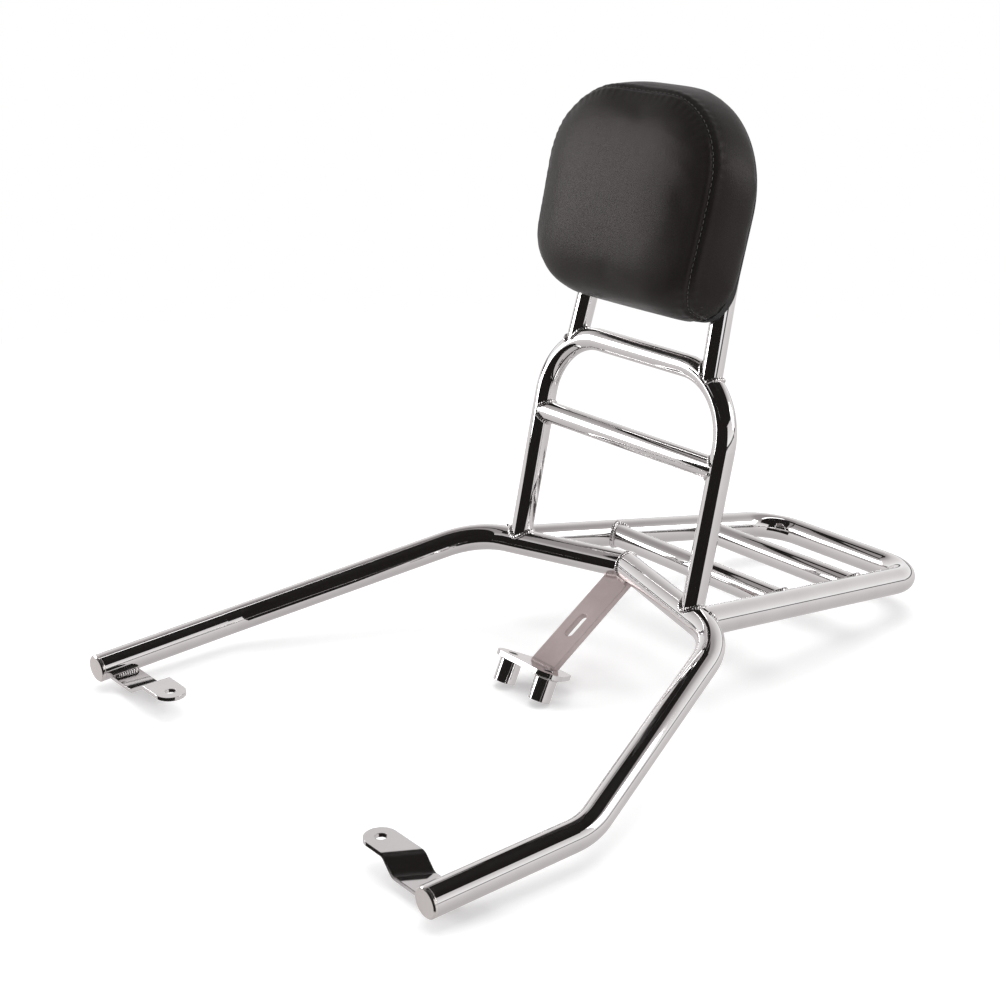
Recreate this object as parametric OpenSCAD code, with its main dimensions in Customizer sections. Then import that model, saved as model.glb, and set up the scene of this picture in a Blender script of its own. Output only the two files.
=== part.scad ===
// Motorcycle backrest with luggage rack, welded from chromed steel tube.
// Millimetres. +X is the bike's left, -Y is forward, +Z is up.
// The origin is the centre of the mounting plate's lower face, between the two spacers.

/* [Tubes] */
// Outer diameter of the side tubes
main_tube_d = 22; // [20:0.5:24]
// Outer diameter of the rack rail
rail_tube_d = 23; // [22.5:0.5:25]
// Outer diameter of the backrest hoop
hoop_tube_d = 18; // [17:0.5:20]
// Outer diameter of the hoop's crossbar
crossbar_d = 17.5; // [15:0.5:17.5]
// Outer diameter of the pad hoop
pad_tube_d = 17; // [15:0.5:17.5]
// Outer diameter of the rack slats
slat_tube_d = 20; // [16:0.5:20]
// Wall thickness of every tube
tube_wall = 2; // [1.5:0.1:3]
// Centreline radius of the bends in the side tubes
side_bend_radius = 60; // [50:1:80]

/* [Side tubes] */
// Height of the cross tube's centre above the origin
cross_height = 59; // [50:1:80]
// Distance of the uprights' feet behind the origin
cross_setback = 75; // [65:1:95]
// How far the mitred centre lies behind the uprights' feet
apex_setback = 27.5; // [20:0.5:35]
// Half the width across the rear corners
corner_half_width = 145; // [135:1:160]
// Half the width across the arms at the front bends
bend_half_width = 222; // [200:1:235]
// Half the width across the arms at their front ends
front_half_width = 218; // [200:1:235]
// Distance of the front bends ahead of the uprights' feet
bend_reach = 210; // [190:1:230]
// Distance of the front ends ahead of the uprights' feet
front_reach = 341; // [320:1:360]
// How far the front bends lie below the cross tube
bend_drop = 56; // [50:1:64]
// How far the front ends lie below the cross tube
front_drop = 62; // [56:1:70]
// Thickness of the caps that close the front ends
cap_t = 3; // [2:0.5:5]

/* [Backrest hoop] */
// Centre distance of the two uprights
upright_spacing = 205; // [190:1:220]
// Length of the uprights from the cross tube to the top bar's centre
upright_length = 183; // [170:1:200]
// Angle that the uprights lean back
hoop_lean = 12.3; // [6:0.1:16]
// Centreline radius of the hoop's top corners
hoop_bend_radius = 54; // [44:1:60]
// Height of the crossbar along the uprights
crossbar_height = 113.5; // [90:0.5:125]

/* [Pad hoop] */
// Centre distance of the pad hoop's legs at the backrest hoop
pad_leg_spacing = 153; // [140:1:162]
// Angle that each leg leans inward
pad_leg_taper = 3.6; // [1:0.2:8]
// Angle that the pad and its hoop lean back
pad_lean = 14; // [9:0.5:18]
// Height of the pad hoop's top bar above the backrest hoop's top bar
pad_hoop_height = 165; // [155:1:175]
// Centreline radius of the pad hoop's top corners
pad_hoop_bend_radius = 30; // [26:1:34]
// Width of the two straps that carry the pad
strap_width = 25; // [20:1:28]
// Thickness of the straps
strap_t = 3; // [2:0.5:4]
// Height of the lower strap above the pad's lower edge
lower_strap_rise = 38; // [32:1:46]
// Height of the upper strap above the pad's lower edge
upper_strap_rise = 90; // [82:1:92]

/* [Pad] */
// Pad width at the back, along its bottom edge
pad_bottom_width = 192; // [182:1:202]
// Pad width at the back, along its top edge
pad_top_width = 197; // [191:1:207]
// Pad height at the back
pad_height = 175; // [167:1:187]
// Radius of the pad's two top corners at the back
pad_top_radius = 86; // [70:1:90]
// Radius of the pad's two bottom corners at the back
pad_bottom_radius = 34; // [30:1:50]
// How far the front panel's seam lies inside the back outline
pad_seam_inset = 9.5; // [6:0.5:12]
// Radius of the seam's two top corners
seam_top_radius = 59; // [50:1:66]
// Radius of the seam's two bottom corners
seam_bottom_radius = 44; // [34:1:52]
// Depth of the side band, from the back to the front panel's seam
pad_band_depth = 47; // [40:0.5:52]
// How far the front panel's middle stands out past its seam
pad_crown = 12; // [8:0.5:16]
// Height of the pad's centre above the backrest hoop's top bar
pad_center_height = 119.5; // [114:0.5:126]
// Thickness of the upholstery
cover_t = 2; // [1.5:0.5:3]
// Thickness of the pad's back board
board_t = 6; // [5:0.5:8]
// Distance between the pad screws across the pad
screw_spacing = 70; // [60:1:80]
// Diameter of the pad screws
screw_d = 6; // [5:1:6]

/* [Luggage rack] */
// Half the width across the rack rail at its front ends
rack_front_half_width = 113.5; // [112:0.5:118]
// Half the width across the rack rail at its rear corners
rack_rear_half_width = 86; // [78:1:100]
// Distance of the rack's rear bar behind the uprights' feet
rack_reach = 295; // [270:1:320]
// How far the rear bar lies below the cross tube
rack_drop = 49; // [35:1:60]
// Centreline radius of the rack's rear corners
rack_bend_radius = 38; // [34:1:44]
// Distance of the front slat behind the uprights' feet
front_slat_reach = 107; // [95:1:120]
// Distance of the rear slat behind the uprights' feet
rear_slat_reach = 208; // [190:1:225]

/* [Center bracket] */
// Width of the bracket strip
bracket_width = 27; // [24:1:32]
// Thickness of the bracket strip
bracket_t = 5; // [4:0.5:6]
// Angle that the strip falls toward the front
bracket_fall = 34; // [30:0.5:38]
// Length of the slot in the strip
slot_length = 24; // [20:1:28]
// Width of the slot in the strip
slot_width = 8; // [6.5:0.5:10]
// Thickness of the mounting plate
plate_t = 4; // [3:0.5:5]
// Angle that the mounting plate falls toward the rear
plate_fall = 24.5; // [20:0.5:28]
// Centre distance of the two spacers
spacer_spacing = 43; // [40:0.5:50]
// Outer diameter of the spacers
spacer_d = 18; // [16:0.5:20]
// Length of the spacers
spacer_length = 20; // [16:0.5:26]
// Diameter of the bolt holes through the plate, the spacers and the front tabs
bolt_hole_d = 8.5; // [8.4:0.1:9]

/* [Front tabs] */
// Width of the tab strip
tab_width = 24; // [20:1:26]
// Thickness of the tab strip
tab_t = 3; // [2.5:0.5:4]
// How far the tab's end pad stands above its base
tab_rise = 11; // [9:0.5:13]
// Distance from the arm's centre to the bolt hole
tab_reach = 79; // [76:1:84]
// Distance from the arm's centre to the left tab's first fold
left_fold_start = 38; // [34:1:42]
// Turn of the left tab's fold lines away from the arm
left_fold_skew = 29; // [20:1:32]
// Slope of the left tab's folded part
left_fold_angle = 50; // [40:1:60]
// Distance from the arm's centre to the right tab's first fold
right_fold_start = 36; // [32:1:40]
// Slope of the right tab's folded part
right_fold_angle = 28; // [24:1:40]

/* [Hidden] */
$fn = 48;

chrome = [0.86, 0.86, 0.87];
satin = [0.72, 0.68, 0.67];
vinyl = [0.10, 0.09, 0.09];
foam = [0.55, 0.53, 0.45];
board_black = [0.07, 0.07, 0.07];
zinc = [0.66, 0.67, 0.69];
far = 400;
bead = 2.6;
small = 0.01;
seat = 0.3;
bend_slim = 0.01;

function unit(v) = v / norm(v);
function turn_at(a, c, b) = acos(unit(c - a) * unit(b - c));
function run_out(a, c, b, radius) = radius * tan(turn_at(a, c, b) / 2);
function mid(a, b, t) = a + (b - a) * t;

// Centreline points of the left side. Mirror them for the right.
foot = [upright_spacing / 2, cross_setback, cross_height];
apex = [0, cross_setback + apex_setback, cross_height + 2];
corner_slope = apex_setback / foot[0];
corner = [corner_half_width, apex[1] - corner_slope * corner_half_width, cross_height - 3];
front_bend = [bend_half_width, cross_setback - bend_reach, cross_height - bend_drop];
front_end = [front_half_width, cross_setback - front_reach, cross_height - front_drop];
arm_dir = unit(front_end - front_bend);
tube_end = front_end - arm_dir * cap_t;
apex_over = apex + unit(apex - corner) * main_tube_d;

lean_dir = [0, sin(hoop_lean), cos(hoop_lean)];
hoop_top = foot + lean_dir * upright_length;
bar_end = foot + lean_dir * crossbar_height;
top_center = [0, hoop_top[1], hoop_top[2]];

pad_up = [0, sin(pad_lean), cos(pad_lean)];
pad_front = [0, -cos(pad_lean), sin(pad_lean)];
leg_foot = [pad_leg_spacing / 2, hoop_top[1], hoop_top[2]];
leg_in = tan(pad_leg_taper);
leg_start_drop = 5;
strap_bite = 0.6;
board_offset = pad_tube_d / 2 - strap_bite + strap_t;
lower_strap_height = pad_center_height - pad_height / 2 + lower_strap_rise;
upper_strap_height = pad_center_height - pad_height / 2 + upper_strap_rise;

rail_front = [rack_front_half_width, cross_setback, cross_height - 2.5];
rail_rear = [rack_rear_half_width, cross_setback + rack_reach, cross_height - rack_drop];

bracket_dir = [0, -cos(bracket_fall), -sin(bracket_fall)];
bracket_below = 4.2;
plate_up = [0, sin(plate_fall), cos(plate_fall)];
ear_radius = 13;
plate_depth = 27;
plate_rear_half = 24;

function across(p) = [-p[0], p[1], p[2]];
function leg_at(h) = leg_foot + pad_up * h - [leg_in * h, 0, 0];

module along(p, v) {
    translate(p)
        rotate([0, acos(unit(v)[2]), atan2(v[1], v[0])])
            children();
}

module rod(a, b, d) {
    along(a, b - a)
        cylinder(d = d, h = norm(b - a));
}

// A straight length of a bent tube, seated a little way over the bends at its ends.
module straight(a, b, d) {
    u = unit(b - a);
    rod(a - u * seat, b + u * seat, d);
}

// A solid bend from the line a-c to the line c-b, a hair slimmer than the straight lengths.
module bend(a, c, b, radius, d) {
    u = unit(c - a);
    w = unit(b - c);
    side = unit(w - u * (u * w));
    start = c - u * run_out(a, c, b, radius);
    o = start + side * radius;
    up = cross(-side, u);
    multmatrix([
        [-side[0], u[0], up[0], o[0]],
        [-side[1], u[1], up[1], o[1]],
        [-side[2], u[2], up[2], o[2]],
        [0, 0, 0, 1]
    ])
        rotate_extrude(angle = turn_at(a, c, b))
            translate([radius, 0])
                circle(d = d - 2 * bend_slim);
}

module mirrored() {
    children();
    mirror([1, 0, 0])
        children();
}

// The left side tube's path as a solid rod, from past the apex to the front end.
rear_out = run_out(apex, corner, front_bend, side_bend_radius);
front_out = run_out(corner, front_bend, front_end, side_bend_radius);
rear_in = corner + unit(apex_over - corner) * rear_out;
rear_on = corner + unit(front_bend - corner) * rear_out;
front_in = front_bend - unit(front_bend - corner) * front_out;
front_on = front_bend + arm_dir * front_out;

module side_path(d, past_end) {
    straight(apex_over, rear_in, d);
    bend(apex, corner, front_bend, side_bend_radius, d);
    straight(rear_on, front_in, d);
    bend(corner, front_bend, front_end, side_bend_radius, d);
    rod(front_on - arm_dir * seat, tube_end + arm_dir * past_end, d);
}

module side_tube() {
    color(chrome)
        difference() {
            side_path(main_tube_d, 0);
            side_path(main_tube_d - 2 * tube_wall, 1);
            translate([-far, 0, 0])
                cube([far, far, far]);
        }
}

// The solid outline of the left half of the cross tube and its rear bend.
module cross_half(d) {
    intersection() {
        union() {
            straight(apex_over, rear_in, d);
            bend(apex, corner, front_bend, side_bend_radius, d);
        }
        cube([far, far, far]);
    }
}

module cross_solid(d) {
    mirrored()
        cross_half(d);
}

module end_cap() {
    chamfer = 1;
    color(chrome)
        along(tube_end, arm_dir)
            union() {
                cylinder(d = main_tube_d, h = cap_t - chamfer);
                translate([0, 0, cap_t - chamfer])
                    cylinder(d1 = main_tube_d, d2 = main_tube_d - 2 * chamfer, h = chamfer);
            }
}

// Front tabs: one folded strip each, under the arm and reaching inward.
tab_setback = 23;
tab_bite = 2;
tab_bend_radius = 5;
arm_at_tab = front_end - arm_dir * tab_setback;
tab_origin = arm_at_tab - [0, 0, main_tube_d / 2 - tab_bite];

function arc(c, r, a, b) = [for (i = [0 : 8]) c + r * [cos(a + (b - a) * i / 8), sin(a + (b - a) * i / 8)]];

module tab_profile(fold_start, fold_angle) {
    inner = tab_bend_radius - tab_t / 2;
    outer = tab_bend_radius + tab_t / 2;
    run = tab_rise / tan(fold_angle);
    tangent = tab_bend_radius * tan(fold_angle / 2);
    low = [fold_start - tangent, tab_bend_radius - tab_t / 2];
    high = [fold_start + run + tangent, tab_rise - tab_t / 2 - tab_bend_radius];
    polygon(concat(
        [[-80, 0]],
        arc(low, inner, -90, -90 + fold_angle),
        arc(high, outer, 90 + fold_angle, 90),
        [[160, tab_rise], [160, tab_rise - tab_t]],
        arc(high, inner, 90, 90 + fold_angle),
        arc(low, outer, -90 + fold_angle, -90),
        [[-80, -tab_t]]
    ));
}

module tab_plan() {
    translate([-tab_reach, -tab_width / 2])
        square([tab_reach, tab_width]);
    translate([-tab_reach, 0])
        circle(d = tab_width);
}

module front_tab(fold_start, fold_skew, fold_angle) {
    color(chrome)
        difference() {
            translate(tab_origin)
                intersection() {
                    rotate([0, 0, 180 - fold_skew])
                        rotate([90, 0, 0])
                            linear_extrude(height = 240, center = true)
                                tab_profile(fold_start, fold_angle);
                    translate([0, 0, -40])
                        linear_extrude(height = 80)
                            tab_plan();
                }
            translate(tab_origin - [tab_reach, 0, 40])
                cylinder(d = bolt_hole_d, h = 80);
            rod(front_bend, front_end + arm_dir * 10, main_tube_d);
        }
}

module tab_welds() {
    reach = main_tube_d * 0.3;
    half = tab_width * 0.42;
    at = tab_origin + [-reach, 0, tab_bite * 0.2];
    color(satin)
        mirrored()
            difference() {
                rod(at - arm_dir * half, at + arm_dir * half, 2 * bead);
                rod(front_bend, front_end, main_tube_d);
                translate(tab_origin - [60, 30, 60])
                    cube([120, 60, 60]);
            }
}

// Backrest hoop: one bent tube from foot to foot.
hoop_out = run_out(foot, hoop_top, across(hoop_top), hoop_bend_radius);

module hoop_path(d) {
    run = hoop_top - [hoop_out, 0, 0];
    straight(run, across(run), d);
    mirrored() {
        bend(foot, hoop_top, across(hoop_top), hoop_bend_radius, d);
        rod(foot, hoop_top - lean_dir * (hoop_out - seat), d);
    }
}

module backrest_hoop() {
    color(chrome)
        difference() {
            hoop_path(hoop_tube_d);
            hoop_path(hoop_tube_d - 2 * tube_wall);
            mirrored()
                rod(apex, corner, main_tube_d);
        }
}

module hoop_crossbar() {
    color(chrome)
        difference() {
            rod(bar_end, across(bar_end), crossbar_d);
            rod(bar_end, across(bar_end), crossbar_d - 2 * tube_wall);
            rod(foot, hoop_top, hoop_tube_d);
            rod(across(foot), across(hoop_top), hoop_tube_d);
        }
}

// Pad hoop: a smaller bent tube on top of the backrest hoop, behind the pad.
leg_low = leg_at(-leg_start_drop);
leg_high = leg_at(pad_hoop_height);
leg_dir = unit(leg_high - leg_low);
leg_out = run_out(leg_low, leg_high, across(leg_high), pad_hoop_bend_radius);

module pad_hoop_path(d) {
    run = leg_high - [leg_out, 0, 0];
    straight(run, across(run), d);
    mirrored() {
        bend(leg_low, leg_high, across(leg_high), pad_hoop_bend_radius, d);
        rod(leg_low, leg_high - leg_dir * (leg_out - seat), d);
    }
}

module pad_hoop() {
    color(chrome)
        difference() {
            pad_hoop_path(pad_tube_d);
            pad_hoop_path(pad_tube_d - 2 * tube_wall);
            hoop_path(hoop_tube_d);
        }
}

// Local frame of the pad: x across, y backward, z up along the pad hoop.
module in_pad() {
    translate(top_center)
        rotate([-pad_lean, 0, 0])
            children();
}

module at_screws() {
    for (h = [lower_strap_height, upper_strap_height])
        for (x = [-screw_spacing / 2, screw_spacing / 2])
            translate([x, -board_offset, h])
                rotate([90, 0, 0])
                    children();
}

module strap(h) {
    half = leg_at(h)[0] + pad_tube_d / 2 - 1;
    clearance = 0.6;
    color(satin)
        difference() {
            in_pad()
                translate([-half, -board_offset, h - strap_width / 2])
                    cube([2 * half, strap_t, strap_width]);
            in_pad()
                at_screws()
                    translate([0, 0, -strap_t - 1])
                        cylinder(d = screw_d + clearance, h = strap_t + 2);
            mirrored()
                rod(leg_low, leg_high, pad_tube_d);
        }
}

module strap_bead(h, side) {
    inset = 5;
    at = -board_offset + strap_t + 0.5;
    a = [leg_at(h)[0] + side * inset + leg_in * strap_width / 2, at, h - strap_width / 2 + 1];
    b = [leg_at(h)[0] + side * inset - leg_in * strap_width / 2, at, h + strap_width / 2 - 1];
    difference() {
        in_pad()
            rod(a, b, 2 * bead);
        rod(leg_low, leg_high, pad_tube_d);
        in_pad()
            translate([0, -board_offset - 10 + strap_t, h - strap_width])
                cube([150, 10, 2 * strap_width]);
    }
}

module strap_welds() {
    color(chrome)
        mirrored()
            for (h = [lower_strap_height, upper_strap_height]) {
                strap_bead(h, -1);
                strap_bead(h, 1);
            }
}

// Rounded outline of the pad, drawn smaller by inset. Its corners go from the back's to the seam's.
// The straight sides lie a hair inside the corner circles, so that they meet in a clean crossing.
function side_lean() = atan2((pad_bottom_width - pad_top_width) / 2, pad_height);
function outline_x(z) = pad_bottom_width / 2 - (z + pad_height / 2) * tan(side_lean());
function corner_center(top, r) = [
    outline_x(top * (pad_height / 2 - r)) - r / cos(side_lean()),
    top * (pad_height / 2 - r)
];

module pad_outline(inset, share) {
    low_turn = max(mid(pad_bottom_radius, seam_bottom_radius + pad_seam_inset, share), inset + 6);
    high_turn = max(mid(pad_top_radius, seam_top_radius + pad_seam_inset, share), inset + 6);
    low_r = low_turn - inset;
    high_r = high_turn - inset;
    low = corner_center(-1, low_turn);
    high = corner_center(1, high_turn);
    normal = [cos(side_lean()), sin(side_lean())];
    for (s = [-1, 1]) {
        translate([s * low[0], low[1]])
            circle(r = low_r);
        translate([s * high[0], high[1]])
            circle(r = high_r);
    }
    low_reach = low_r - small;
    high_reach = high_r - small;
    right = [
        low - [0, low_reach], low + low_reach * normal,
        high + high_reach * normal, high + [0, high_reach]
    ];
    polygon(concat(right, [for (i = [3 : -1 : 0]) [-right[i][0], right[i][1]]]));
}

module pad_layer(depth, inset) {
    in_pad()
        translate([0, -board_offset - depth, pad_center_height])
            rotate([90, 0, 0])
                linear_extrude(height = small)
                    pad_outline(inset, min(depth / pad_band_depth, 1));
}

// The pad's crowned body. The foam is the same body, one cover thickness smaller.
module pad_body(start, shrink) {
    front = pad_band_depth + pad_crown - shrink;
    hull() {
        pad_layer(start, pad_seam_inset * start / pad_band_depth + shrink);
        pad_layer(pad_band_depth - shrink, pad_seam_inset + shrink);
        pad_layer(pad_band_depth + pad_crown * 0.45 - shrink, pad_seam_inset + 7 + shrink);
        pad_layer(pad_band_depth + pad_crown * 0.8 - shrink, pad_seam_inset + 22 + shrink);
        pad_layer(front - small, pad_seam_inset + 45 + shrink);
    }
}

board_inset = 3.5;
insert_d = 10;
flange_d = 18;
flange_t = 1.5;
washer_d = 13;
washer_t = 1.2;
head_d = 10.5;
head_h = 3.3;
key_d = 4.6;
key_depth = 2;

// The board's pocket reaches a little into the foam's hollow, so that the two open into each other.
module pad_cover() {
    color(vinyl)
        difference() {
            pad_body(0, 0);
            pad_body(board_t, cover_t);
            pad_board_blank(1, 0.2);
        }
}

module pad_foam() {
    color(foam)
        difference() {
            pad_body(board_t, cover_t);
            in_pad()
                at_screws()
                    translate([0, 0, board_t - 1])
                        cylinder(d = flange_d, h = flange_t + 1);
        }
}

module pad_board_blank(behind, before) {
    in_pad()
        translate([0, -board_offset + behind, pad_center_height])
            rotate([90, 0, 0])
                linear_extrude(height = behind + board_t + before)
                    pad_outline(board_inset, 0);
}

module pad_board() {
    color(board_black)
        difference() {
            pad_board_blank(0, 0);
            in_pad()
                at_screws()
                    translate([0, 0, -1])
                        cylinder(d = insert_d, h = board_t + 2);
        }
}

module pad_inserts() {
    color(zinc)
        in_pad()
            at_screws()
                difference() {
                    union() {
                        cylinder(d = insert_d, h = board_t);
                        translate([0, 0, board_t])
                            cylinder(d = flange_d, h = flange_t);
                    }
                    translate([0, 0, -1])
                        cylinder(d = screw_d, h = board_t + flange_t + 2);
                }
}

module pad_screws() {
    head_base = -strap_t - washer_t;
    color(zinc)
        in_pad()
            at_screws()
                difference() {
                    union() {
                        translate([0, 0, head_base])
                            cylinder(d = screw_d, h = -head_base + board_t + flange_t);
                        translate([0, 0, head_base - head_h])
                            cylinder(d = head_d, h = head_h);
                    }
                    translate([0, 0, head_base - head_h - 1])
                        cylinder(d = key_d, h = key_depth + 1, $fn = 6);
                }
}

module pad_washers() {
    color(zinc)
        in_pad()
            at_screws()
                translate([0, 0, -strap_t - washer_t])
                    difference() {
                        cylinder(d = washer_d, h = washer_t);
                        translate([0, 0, -1])
                            cylinder(d = screw_d, h = washer_t + 2);
                    }
}

// Rack rail: one bent tube from cross tube to cross tube, with two slats.
rail_out = run_out(rail_front, rail_rear, across(rail_rear), rack_bend_radius);
rail_dir = unit(rail_rear - rail_front);

module rail_path(d) {
    run = rail_rear - [rail_out, 0, 0];
    straight(run, across(run), d);
    mirrored() {
        bend(rail_front, rail_rear, across(rail_rear), rack_bend_radius, d);
        rod(rail_front, rail_rear - rail_dir * (rail_out - seat), d);
    }
}

module rack_rail() {
    color(chrome)
        difference() {
            rail_path(rail_tube_d);
            rail_path(rail_tube_d - 2 * tube_wall);
            cross_solid(main_tube_d);
            mirrored()
                rod(foot, foot + lean_dir * 40, hoop_tube_d);
        }
}

function slat_end(reach) = mid(rail_front, rail_rear, reach / rack_reach);

module rack_slat(reach) {
    color(chrome)
        difference() {
            rod(slat_end(reach), across(slat_end(reach)), slat_tube_d);
            rod(slat_end(reach), across(slat_end(reach)), slat_tube_d - 2 * tube_wall);
            mirrored()
                rod(rail_front, rail_rear, rail_tube_d);
        }
}

// Center bracket: a slotted strip from the cross tube down to the mounting plate.
slot_reach = 66;
bracket_length = 130;

module in_bracket() {
    translate(apex)
        rotate([bracket_fall, 0, 0])
            children();
}

module in_plate() {
    rotate([-plate_fall, 0, 0])
        children();
}

module bracket_blank() {
    in_bracket()
        translate([-bracket_width / 2, -bracket_length, -bracket_below - bracket_t / 2])
            cube([bracket_width, bracket_length, bracket_t]);
}

// The strip with its top weld, for what stays clear of both.
module bracket_room() {
    in_bracket()
        translate([-bracket_width / 2, -bracket_length, -bracket_below - bracket_t / 2 - bead])
            cube([bracket_width, bracket_length, bracket_t + 2 * bead]);
}

module center_bracket() {
    half = (slot_length - slot_width) / 2;
    color(satin)
        difference() {
            bracket_blank();
            in_bracket()
                translate([0, -slot_reach, -bracket_below - bracket_t]) {
                    translate([-slot_width / 2, -half, 0])
                        cube([slot_width, 2 * half, 2 * bracket_t]);
                    for (s = [-half, half])
                        translate([0, s, 0])
                            cylinder(d = slot_width, h = 2 * bracket_t);
                }
            cross_solid(main_tube_d);
            in_plate()
                translate([-60, -60, plate_t - 60])
                    cube([120, 120, 60]);
        }
}

ear = [spacer_spacing / 2, 0];
rear_radius = 6;
rear_corner = [plate_rear_half - rear_radius, plate_depth - rear_radius];
edge_turn = atan2(rear_corner[1] - ear[1], rear_corner[0] - ear[0])
    - acos((ear_radius - rear_radius) / norm(rear_corner - ear));
edge_normal = [cos(edge_turn), sin(edge_turn)];

module plate_outline() {
    right = [
        ear - [0, ear_radius],
        ear + ear_radius * edge_normal,
        rear_corner + rear_radius * edge_normal,
        rear_corner + [0, rear_radius]
    ];
    polygon(concat(right, [for (i = [3 : -1 : 0]) [-right[i][0], right[i][1]]]));
    for (s = [-1, 1]) {
        translate([s * ear[0], ear[1]])
            circle(r = ear_radius);
        translate([s * rear_corner[0], rear_corner[1]])
            circle(r = rear_radius);
    }
}

module mounting_plate() {
    color(satin)
        in_plate()
            linear_extrude(height = plate_t)
                difference() {
                    plate_outline();
                    for (s = [-1, 1])
                        translate([s * ear[0], 0])
                            circle(d = bolt_hole_d);
                }
}

module spacer() {
    color(chrome)
        in_plate()
            translate([ear[0], 0, -spacer_length])
                difference() {
                    cylinder(d = spacer_d, h = spacer_length);
                    translate([0, 0, -1])
                        cylinder(d = bolt_hole_d, h = spacer_length + 2);
                }
}

// Welds: each is the band where both tubes, made a little thicker, cross.
module apex_weld() {
    band = 3;
    color(satin)
        difference() {
            intersection() {
                mirrored()
                    rod(apex_over, corner, main_tube_d + 2.4);
                translate([-band, apex[1] - 40, apex[2] - 40])
                    cube([2 * band, 80, 80]);
            }
            cross_solid(main_tube_d);
            bracket_room();
        }
}

module upright_foot_welds() {
    color(satin)
        mirrored()
            difference() {
                intersection() {
                    rod(foot, foot + lean_dir * 30, hoop_tube_d + 2 * bead);
                    rod(apex, corner, main_tube_d + 2 * bead);
                }
                rod(foot, foot + lean_dir * 40, hoop_tube_d);
                rod(apex, corner, main_tube_d);
                rod(rail_front, rail_rear, rail_tube_d);
            }
}

module crossbar_welds() {
    inner = bar_end - [14, 0, 0];
    reach_out = 2;
    color(satin)
        mirrored()
            difference() {
                intersection() {
                    rod(bar_end, inner, crossbar_d + 2 * bead);
                    rod(foot, hoop_top, hoop_tube_d + 2 * reach_out);
                    translate(bar_end - [20, 20, 20])
                        cube([20, 40, 40]);
                }
                rod(bar_end + [5, 0, 0], inner - [5, 0, 0], crossbar_d);
                rod(foot, hoop_top, hoop_tube_d);
            }
}

module pad_hoop_welds() {
    reach_out = 1.8;
    color(satin)
        mirrored()
            difference() {
                intersection() {
                    rod(leg_low, leg_at(30), pad_tube_d + 2 * reach_out);
                    bend(foot, hoop_top, across(hoop_top), hoop_bend_radius, hoop_tube_d + 2 * bead);
                }
                rod(leg_low - leg_dir * 10, leg_at(40), pad_tube_d);
                bend(foot, hoop_top, across(hoop_top), hoop_bend_radius, hoop_tube_d + 2 * bend_slim);
            }
}

module rack_rail_welds() {
    color(satin)
        mirrored()
            difference() {
                intersection() {
                    rod(rail_front, rail_front + rail_dir * 40, rail_tube_d + 2 * bead);
                    cross_half(main_tube_d + 2 * bead);
                }
                rod(rail_front, rail_rear, rail_tube_d);
                cross_half(main_tube_d);
                rod(foot, foot + lean_dir * 40, hoop_tube_d + 4 * bead);
            }
}

module slat_weld(reach) {
    end = slat_end(reach);
    inner = end - [30, 0, 0];
    difference() {
        intersection() {
            rod(end, inner, slat_tube_d + 2 * bead);
            rod(rail_front, rail_rear, rail_tube_d + 2 * bead);
        }
        rod(end, inner, slat_tube_d);
        rod(rail_front, rail_rear, rail_tube_d);
    }
}

module slat_welds() {
    color(satin)
        mirrored() {
            slat_weld(front_slat_reach);
            slat_weld(rear_slat_reach);
        }
}

module bracket_weld() {
    color(satin)
        difference() {
            intersection() {
                bracket_room();
                cross_solid(main_tube_d + 2 * bead);
                translate([-far / 2, 0, 0])
                    cube([far, apex[1], apex[2] + 6]);
            }
            bracket_blank();
            cross_solid(main_tube_d);
        }
}

module plate_weld() {
    foot_y = 12.6;
    color(satin)
        difference() {
            in_plate()
                translate([-bracket_width / 2, foot_y, plate_t])
                    rotate([0, 90, 0])
                        cylinder(r = bead, h = bracket_width);
            bracket_blank();
            in_plate()
                translate([-60, -60, plate_t - 60])
                    cube([120, 120, 60]);
        }
}

module spacer_welds() {
    color(satin)
        mirrored()
            in_plate()
                translate([ear[0], 0, -bead])
                    difference() {
                        cylinder(d1 = spacer_d, d2 = spacer_d + 2 * bead, h = bead);
                        translate([0, 0, -1])
                            cylinder(d = spacer_d, h = bead + 2);
                    }
}

side_tube();  // left_side_tube
mirror([1, 0, 0]) side_tube();  // right_side_tube
end_cap();  // left_end_cap
mirror([1, 0, 0]) end_cap();  // right_end_cap
front_tab(left_fold_start, left_fold_skew, left_fold_angle);  // left_front_tab
mirror([1, 0, 0]) front_tab(right_fold_start, 0, right_fold_angle);  // right_front_tab
backrest_hoop();
hoop_crossbar();
pad_hoop();
strap(lower_strap_height);  // lower_pad_strap
strap(upper_strap_height);  // upper_pad_strap
rack_rail();
rack_slat(front_slat_reach);  // front_rack_slat
rack_slat(rear_slat_reach);  // rear_rack_slat
center_bracket();
mounting_plate();
spacer();  // left_spacer
mirror([1, 0, 0]) spacer();  // right_spacer
pad_cover();
pad_foam();
pad_board();
pad_inserts();
pad_screws();
pad_washers();
apex_weld();
upright_foot_welds();
crossbar_welds();
pad_hoop_welds();
strap_welds();
rack_rail_welds();
slat_welds();
tab_welds();
bracket_weld();
plate_weld();
spacer_welds();
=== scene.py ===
import math

import bmesh
import bpy
from mathutils import Matrix, Vector
from mathutils.bvhtree import BVHTree
from mathutils.kdtree import KDTree


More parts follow.
